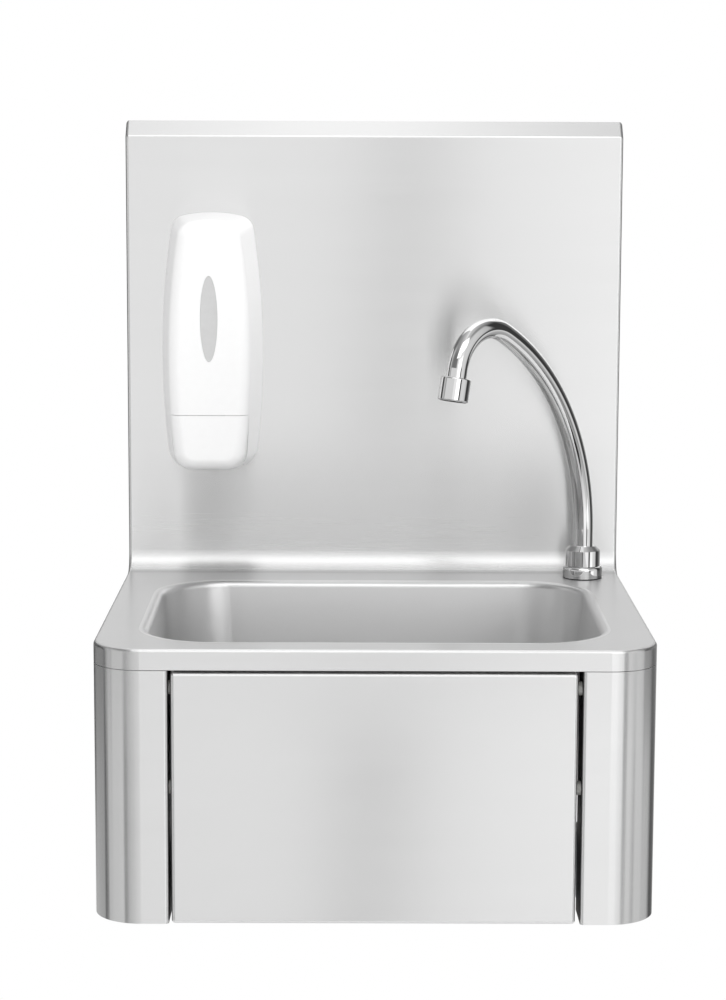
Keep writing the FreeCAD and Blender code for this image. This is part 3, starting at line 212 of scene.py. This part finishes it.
class Graph:
    """A node tree with short ways to add and link nodes."""

    def __init__(self, tree):
        self.tree = tree
        self.tree.nodes.clear()

    def add(self, kind, **settings):
        node = self.tree.nodes.new(kind)
        for name, value in settings.items():
            setattr(node, name, value)
        return node

    def link(self, source, target):
        self.tree.links.new(source, target)

    def feed(self, target, value):
        """Set an input to a number, or link it to another node."""
        if isinstance(value, (int, float)):
            target.default_value = value
        else:
            self.link(value, target)

    def math(self, operation, first, second=None, third=None, clamp=False):
        node = self.add("ShaderNodeMath", operation=operation, use_clamp=clamp)
        for index, value in enumerate((first, second, third)):
            if value is not None:
                self.feed(node.inputs[index], value)
        return node.outputs[0]

    def mix(self, factor, first, second):
        node = self.add("ShaderNodeMix", data_type="FLOAT")
        for index, value in zip(mix_numbers, (factor, first, second)):
            self.feed(node.inputs[index], value)
        return node.outputs[0]

    def step(self, value, low, high):
        """Soft step from 0 at low to 1 at high."""
        node = self.add("ShaderNodeMapRange", interpolation_type="SMOOTHSTEP")
        self.link(value, node.inputs["Value"])
        socket(node, "From Min", low)
        socket(node, "From Max", high)
        return node.outputs["Result"]

    def ramp(self, factor, stops):
        node = self.add("ShaderNodeValToRGB")
        ramp = node.color_ramp
        while len(ramp.elements) < len(stops):
            ramp.elements.new(1.0)
        for element, (position, level) in zip(ramp.elements, stops):
            element.position = position
            element.color = (level, level, level, 1.0)
        self.link(factor, node.inputs["Fac"])
        return node.outputs["Color"]


def material_graph(name):
    """A new material with its empty graph, shader and output."""
    material = bpy.data.materials.new(name)
    material.use_nodes = True
    graph = Graph(material.node_tree)
    shader = graph.add("ShaderNodeBsdfPrincipled")
    output = graph.add("ShaderNodeOutputMaterial")
    graph.link(shader.outputs["BSDF"], output.inputs["Surface"])
    return material, graph, shader


def noise(graph, stretch, scale, detail):
    """Level of a noise texture at stretched object coordinates."""
    coordinates = graph.add("ShaderNodeTexCoord")
    mapping = graph.add("ShaderNodeMapping")
    socket(mapping, "Scale", stretch)
    graph.link(coordinates.outputs["Object"], mapping.inputs["Vector"])
    node = graph.add("ShaderNodeTexNoise")
    socket(node, "Scale", scale)
    socket(node, "Detail", detail)
    graph.link(mapping.outputs["Vector"], node.inputs["Vector"])
    return node.outputs["Fac"]


def weigh(graph, first, second, first_share):
    """Two levels added by their shares."""
    weighed = graph.math("MULTIPLY", first, first_share)
    return graph.math("ADD", weighed, graph.math("MULTIPLY", second, 1 - first_share))


def between(graph, level, low, high):
    """Map a level of 0 to 1 onto a range."""
    return graph.math("MULTIPLY_ADD", level, high - low, low)


def spread(value, shares):
    """Range of a value, from its lowest to its highest share."""
    return [value * share for share in shares]


def tint(graph, level, low, high):
    """Mix two colours by a level."""
    node = graph.add("ShaderNodeMix", data_type="RGBA")
    factor, first, second = (node.inputs[index] for index in mix_colours)
    graph.link(level, factor)
    first.default_value = (*low, 1.0)
    second.default_value = (*high, 1.0)
    return node.outputs[mix_colour_out]


def bump(graph, shader, height, strength, distance):
    """Raise the surface by a level."""
    node = graph.add("ShaderNodeBump")
    socket(node, "Strength", strength)
    socket(node, "Distance", distance)
    graph.link(height, node.inputs["Height"])
    graph.link(node.outputs["Normal"], shader.inputs["Normal"])


def across_grain(graph, shader):
    """Turn the highlight across a grain that runs level on upright faces and along X on flat ones."""
    geometry = graph.add("ShaderNodeNewGeometry")
    cross = graph.add("ShaderNodeVectorMath", operation="CROSS_PRODUCT")
    cross.inputs[1].default_value = grain_axis
    graph.link(geometry.outputs["True Normal"], cross.inputs[0])
    graph.link(cross.outputs["Vector"], shader.inputs["Tangent"])


def normal_part(graph, axis):
    """One part of the surface's direction."""
    geometry = graph.add("ShaderNodeNewGeometry")
    parts = graph.add("ShaderNodeSeparateXYZ")
    graph.link(geometry.outputs["True Normal"], parts.inputs["Vector"])
    return parts.outputs[axis]


def place_part(graph, axis):
    """One part of the place on the part at rest."""
    coordinates = graph.add("ShaderNodeTexCoord")
    parts = graph.add("ShaderNodeSeparateXYZ")
    graph.link(coordinates.outputs["Object"], parts.inputs["Vector"])
    return parts.outputs[axis]


def window(graph, value, span, edge):
    """1 inside a span, fading out over an edge on both sides."""
    rising = graph.step(value, span[0] - edge, span[0])
    falling = graph.step(value, span[1] + edge, span[1])
    return graph.math("MULTIPLY", rising, falling)


def near_deck(graph):
    """1 just above the deck, 0 below it and higher up the splash."""
    return window(graph, place_part(graph, "Z"), *dull_band)


def painted_gap_shade_mask(graph):
    """1 where shade is painted near-black on the faces inside the gaps beside the knee panel."""
    across = window(graph, graph.math("ABSOLUTE", place_part(graph, "X")), *gap_band)
    behind = graph.step(place_part(graph, "Y"), *gap_depths)
    sideways = graph.step(graph.math("ABSOLUTE", normal_part(graph, "X")), *gap_facing)
    return graph.math("MULTIPLY", graph.math("MULTIPLY", across, behind), sideways)


def brushed_steel():
    """Stainless sheet with a fine level grain, duller on the deck and its cove; shade is painted as a darker
    tint on level faces and as near-black in the panel's gaps.
    """
    material, graph, shader = material_graph("stainless")
    fine = noise(graph, *fine_grain)
    grain = weigh(graph, fine, noise(graph, *broad_grain), fine_grain_share)
    level = graph.step(normal_part(graph, "Z"), *level_facing)
    # Painted shade: the faces inside the panel's gaps are made near-black and not metallic
    dark = painted_gap_shade_mask(graph)
    # Level faces get the darker tint, which paints shade on the deck
    sheet_tint = graph.mix(level, between(graph, grain, *upright_tint), between(graph, grain, *level_painted_shade_tint))
    graph.link(graph.mix(dark, sheet_tint, gap_painted_shade_tint), shader.inputs["Base Color"])
    graph.link(graph.math("SUBTRACT", 1.0, dark), shader.inputs["Metallic"])
    upright = between(graph, grain, *upright_roughness)
    cove = between(graph, grain, *cove_roughness)
    rising = graph.mix(near_deck(graph), upright, cove)
    roughness = graph.mix(level, rising, between(graph, grain, *level_roughness))
    graph.link(graph.mix(dark, roughness, gap_roughness), shader.inputs["Roughness"])
    socket(shader, "Anisotropic", 1.0)
    across_grain(graph, shader)
    bump(graph, shader, fine, *grain_bump)
    return material


def satin_steel():
    """Drawn stainless with an even satin finish."""
    material, graph, shader = material_graph("satin_stainless")
    fine = noise(graph, *satin_fine)
    cloud = weigh(graph, fine, noise(graph, *satin_broad), satin_fine_share)
    graph.link(between(graph, cloud, *satin_tint), shader.inputs["Base Color"])
    graph.link(between(graph, cloud, *satin_roughness), shader.inputs["Roughness"])
    socket(shader, "Metallic", 1.0)
    bump(graph, shader, fine, *satin_bump)
    return material


def mirror_metal(name, dark, light, roughness):
    """Bright plated or turned metal with faint cloudiness."""
    material, graph, shader = material_graph(name)
    cloud = noise(graph, *metal_cloud)
    graph.link(tint(graph, cloud, dark, light), shader.inputs["Base Color"])
    graph.link(between(graph, cloud, *spread(roughness, metal_roughness_shares)), shader.inputs["Roughness"])
    socket(shader, "Metallic", 1.0)
    return material


def moulded(name, dark, light, roughness, grain_scale, grain_depth):
    """Moulded plastic or rubber with a faint skin texture."""
    material, graph, shader = material_graph(name)
    skin = noise(graph, skin_stretch, grain_scale, skin_detail)
    graph.link(tint(graph, skin, dark, light), shader.inputs["Base Color"])
    graph.link(between(graph, skin, *spread(roughness, skin_roughness_shares)), shader.inputs["Roughness"])
    bump(graph, shader, skin, skin_strength, grain_depth)
    return material


def make_materials():
    """One material for each slot of the record."""
    finishes = {"stainless": brushed_steel()}
    for name, look in metals.items():
        finishes[name] = mirror_metal(name, *look)
    for name, look in plastics.items():
        finishes[name] = moulded(name, *look)
    return finishes


def dress_nodes(materials):
    """Give each CAD node its slot's material, and the drawn bowl its own satin."""
    for entry in frame["record"]["subparts"]:
        node = frame["nodes"][entry["node"]]
        node.data.materials.clear()
        node.data.materials.append(materials[entry["material_slot"]])
    bowl = frame["nodes"]["bowl"]
    bowl.data.materials[0] = satin_steel()


def thread_mesh(centre, ends, radius, pitch):
    """Helical ridge round an upright shank, run out to nothing at both ends."""
    ridge = bmesh.new()
    foot = ends[0] + pitch / 2
    top = ends[1] - pitch / 2
    steps = round((top - foot) / pitch * thread_steps)
    run_out_steps = thread_steps * thread_run_out_share
    half_width = pitch * thread_width_share
    rings = []
    for index in range(steps + 1):
        turn = math.tau * index / thread_steps
        height = foot + pitch * index / thread_steps
        run_out = min(1.0, index / run_out_steps, (steps - index) / run_out_steps)
        section = (
            (radius - thread_root, height - half_width),
            (radius + thread_height * run_out, height),
            (radius - thread_root, height + half_width),
        )
        rings.append([
            ridge.verts.new((centre[0] + out * math.cos(turn), centre[1] + out * math.sin(turn), up))
            for out, up in section
        ])
    for ring, following in zip(rings, rings[1:]):
        for corner in range(len(ring)):
            after = (corner + 1) % len(ring)
            ridge.faces.new((ring[corner], following[corner], following[after], ring[after]))
    ridge.faces.new(rings[0])
    ridge.faces.new(reversed(rings[-1]))
    bmesh.ops.recalc_face_normals(ridge, faces=ridge.faces)
    return ridge


def add_piece(name, shape, body, material):
    """A finished mesh as a piece that rides on a body and takes a slot's finish."""
    data = bpy.data.meshes.new(name)
    shape.to_mesh(data)
    shape.free()
    data.materials.append(material)
    piece = bpy.data.objects.new(name, data)
    bpy.context.scene.collection.objects.link(piece)
    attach(piece, body)


def make_threads(materials):
    """Screw threads on the shanks, in each shank's own finish."""
    slots = {entry["node"]: entry["material_slot"] for entry in frame["record"]["subparts"]}
    for name, node, centre, ends, radius, pitch in threads:
        shape = thread_mesh(centre, ends, radius, pitch)
        add_piece(name, shape, "sink", materials[slots[node]])


def make_camera():
    """Camera at the photograph's place and angle."""
    data = bpy.data.cameras.new("photo_camera")
    data.lens = camera_lens
    data.sensor_width = camera_sensor
    camera = bpy.data.objects.new("photo_camera", data)
    bpy.context.scene.collection.objects.link(camera)
    cos_pitch = math.cos(camera_pitch)
    forward = Vector((
        math.sin(camera_yaw) * cos_pitch, math.cos(camera_yaw) * cos_pitch, -math.sin(camera_pitch)
    ))
    level = Vector((math.cos(camera_yaw), -math.sin(camera_yaw), 0.0))
    upright = level.cross(forward)
    right = level * math.cos(camera_roll) + upright * math.sin(camera_roll)
    up = upright * math.cos(camera_roll) - level * math.sin(camera_roll)
    turn = Matrix((right, up, -forward)).transposed()
    camera.matrix_world = Matrix.Translation(camera_place) @ turn.to_4x4()
    bpy.context.scene.camera = camera


def make_floor():
    """Plain pale round floor at the height where such a sink is used."""
    mesh = bpy.data.meshes.new("floor")
    form = bmesh.new()
    bmesh.ops.create_circle(form, cap_ends=True, radius=floor_radius, segments=floor_corners)
    form.to_mesh(mesh)
    form.free()
    floor = bpy.data.objects.new("floor", mesh)
    floor.location = (0.0, floor_y, floor_z)
    bpy.context.scene.collection.objects.link(floor)
    material, _, shader = material_graph("floor")
    socket(shader, "Base Color", floor_colour)
    socket(shader, "Roughness", floor_roughness)
    mesh.materials.append(material)


def studio_ramp(graph, value, levels):
    """Brightness read from a table by a value in the table's own units."""
    low = levels[0][0]
    span = levels[-1][0] - low
    share = graph.math("MULTIPLY_ADD", value, 1 / span, -low / span, clamp=True)
    stops = [((place - low) / span, level / studio_peak) for place, level in levels]
    return graph.math("MULTIPLY", graph.ramp(share, stops), studio_peak)


def patch(graph, azimuth, height, turn, rise):
    """Share of a soft rectangle in the studio."""
    across = window(graph, azimuth, turn, turn_edge)
    return graph.math("MULTIPLY", across, window(graph, height, rise, rise_edge))


def studio_level(graph):
    """Brightness of the studio's panels by direction."""
    coordinates = graph.add("ShaderNodeTexCoord")
    parts = graph.add("ShaderNodeSeparateXYZ")
    graph.link(coordinates.outputs["Generated"], parts.inputs["Vector"])
    sideways = parts.outputs["X"]
    height = parts.outputs["Z"]
    ahead = graph.math("MULTIPLY", parts.outputs["Y"], -1.0)
    azimuth = graph.math("DEGREES", graph.math("ARCTAN2", sideways, ahead))
    lower = studio_ramp(graph, azimuth, lower_levels)
    upper = studio_ramp(graph, azimuth, upper_levels)
    around = graph.mix(graph.step(height, lower_full, upper_full), lower, upper)
    leaning = graph.math("MULTIPLY_ADD", height, -slot_lean, -slot_turn)
    slot = studio_ramp(graph, graph.math("ADD", azimuth, leaning), slot_levels)
    sides = graph.math("MULTIPLY", around, slot)
    overhead = studio_ramp(graph, sideways, overhead_levels)
    level = graph.mix(graph.step(height, overhead_from, overhead_full), sides, overhead)
    for turn, rise, brightness in patches:
        level = graph.mix(patch(graph, azimuth, height, turn, rise), level, brightness)
    return graph.math("MULTIPLY", level, studio_ramp(graph, height, rise_levels))


def background(graph, colour):
    """A plain world shader."""
    node = graph.add("ShaderNodeBackground")
    socket(node, "Color", colour)
    return node


def switch(graph, factor, first, second):
    """One shader for most rays and another for the rays of one kind."""
    node = graph.add("ShaderNodeMixShader")
    graph.link(factor, node.inputs["Fac"])
    graph.link(first, node.inputs[1])
    graph.link(second, node.inputs[2])
    return node.outputs["Shader"]


def make_world():
    """White to the camera, a studio of soft panels to the metal, plain light to everything else."""
    world = bpy.data.worlds.new("studio")
    bpy.context.scene.world = world
    world.use_nodes = True
    graph = Graph(world.node_tree)
    studio = graph.add("ShaderNodeBackground")
    graph.link(studio_level(graph), studio.inputs["Color"])
    plain = background(graph, plain_light)
    backdrop = background(graph, white)
    path = graph.add("ShaderNodeLightPath")
    shown = switch(graph, path.outputs["Is Glossy Ray"], plain.outputs[0], studio.outputs[0])
    seen = switch(graph, path.outputs["Is Camera Ray"], shown, backdrop.outputs[0])
    output = graph.add("ShaderNodeOutputWorld")
    graph.link(seen, output.inputs["Surface"])


def make_lamp(name, place, target, size, watts):
    """A soft rectangular lamp."""
    data = bpy.data.lights.new(name, "AREA")
    data.shape = "RECTANGLE"
    data.size = size[0]
    data.size_y = size[1]
    data.energy = watts
    lamp = bpy.data.objects.new(name, data)
    bpy.context.scene.collection.objects.link(lamp)
    lamp.location = place
    lamp.rotation_euler = (Vector(target) - Vector(place)).to_track_quat("-Z", "Y").to_euler()
    lamp.visible_glossy = False


def make_lamps():
    """Soft light from above, from low in front and from both sides of the viewer."""
    for lamp in lamps:
        make_lamp(*lamp)


bpy.context.scene.view_settings.view_transform = "Standard"
make_camera()
make_floor()
make_world()
make_lamps()
materials = make_materials()
dress_nodes(materials)
make_threads(materials)
